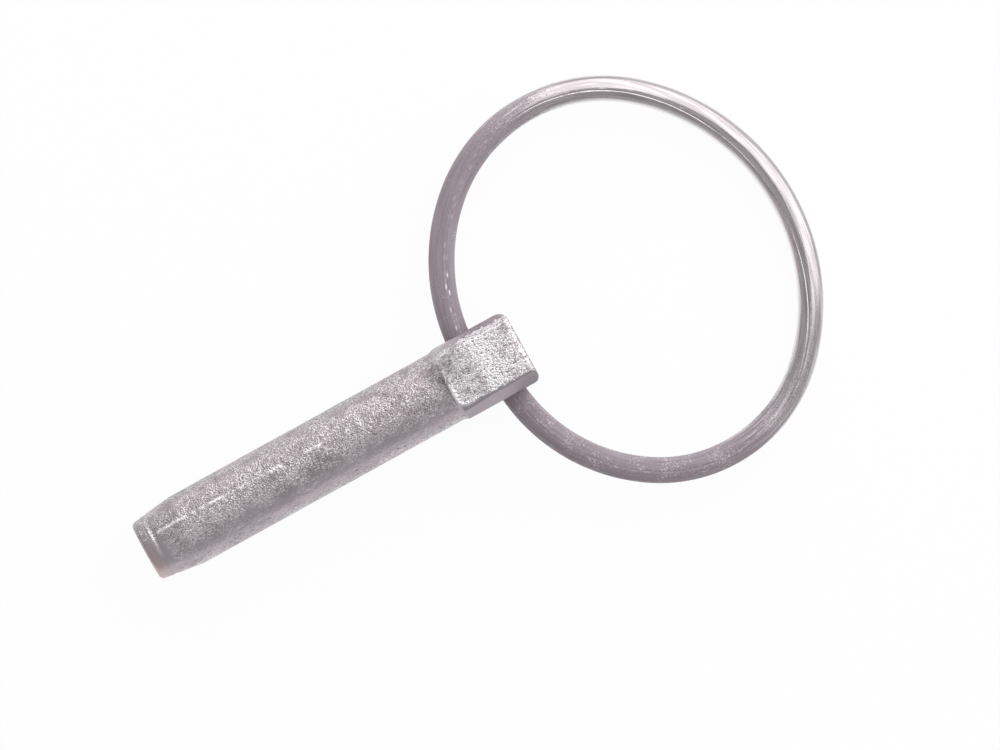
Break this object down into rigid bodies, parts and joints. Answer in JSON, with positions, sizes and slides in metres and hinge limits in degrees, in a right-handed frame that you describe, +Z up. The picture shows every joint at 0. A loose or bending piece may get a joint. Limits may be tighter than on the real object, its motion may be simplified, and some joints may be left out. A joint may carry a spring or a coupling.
{
  "type": "lynch pin",
  "caption": "Zinc-plated locking pin with a round shank, tapered tip and block head that carries a hinged sprung wire ring.",
  "frame": {"origin": "on the shank's axis, in the plane of the head's front face", "axes": "X along the pin with the tip at -X, Z up out of the head's flat top as the part lies, Y across the pin along the ring's hinge axis"},
  "size_m": [0.0985, 0.0566, 0.0125],
  "materials": {
    "forged_zinc": "zinc-plated steel, rough as forged, with a sandy speckled surface",
    "wire_zinc": "zinc-plated spring wire, smooth drawn surface with faint lengthwise streaks"
  },
  "bodies": {
    "pin_body": {"pin": "forged_zinc"},
    "ring_body": {"spring_ring": "wire_zinc"}
  },
  "joints": [
    {"name": "ring_swing", "type": "hinge", "parent": "pin_body", "child": "ring_body", "pos_m": [0.0058, 0, 0.00075], "axis": [0, -1, 0], "range_deg": [-165, 177]}
  ]
}
